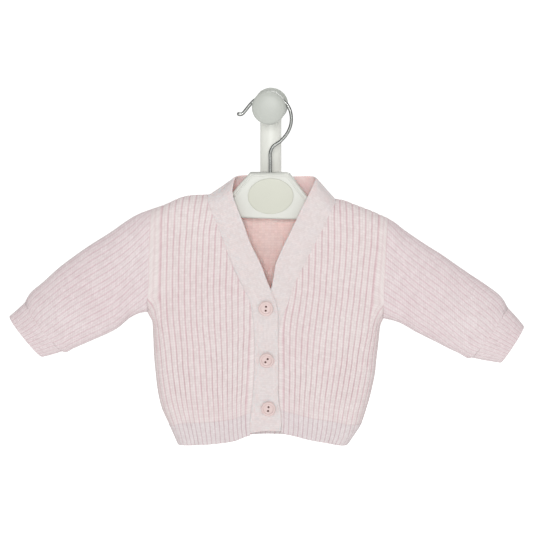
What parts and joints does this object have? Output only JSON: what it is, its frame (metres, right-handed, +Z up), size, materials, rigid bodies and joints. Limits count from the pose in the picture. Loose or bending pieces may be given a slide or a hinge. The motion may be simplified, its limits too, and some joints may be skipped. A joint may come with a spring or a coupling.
{
  "type": "baby cardigan on a hanger and wall peg",
  "caption": "Rib-knit long-sleeved V-neck baby cardigan buttoned at the front, on a moulded hanger whose wire hook hangs from a round wall peg.",
  "frame": {"origin": "on the flat back face of the wall bar, on the axis of the peg that holds the hanger", "axes": "+Z up, -Y out of the wall toward the viewer, +X to the viewer's right"},
  "size_m": [0.5198, 0.0588, 0.3644],
  "materials": {
    "rib_knit": "matt knitted yarn in pale pink",
    "plain_knit": "matt fine plain knit in pale pink",
    "button": "satin moulded plastic",
    "hanger": "smooth off-white moulding",
    "badge": "plain greige inlay",
    "steel": "polished wire",
    "peg": "smooth off-white moulding",
    "bar": "smooth off-white moulding"
  },
  "bodies": {
    "root": {"back": "rib_knit", "front_left": "rib_knit", "front_right": "rib_knit", "hem_back": "rib_knit", "hem_front_left": "rib_knit", "hem_front_right": "rib_knit", "sleeve_left": "rib_knit", "sleeve_right": "rib_knit", "cuff_left": "rib_knit", "cuff_right": "rib_knit", "front_band": "plain_knit", "button_1": "button", "button_2": "button", "button_3": "button", "hanger": "hanger", "hanger_badge": "badge", "hook": "steel", "peg": "peg", "wall_bar": "bar"}
  },
  "joints": []
}
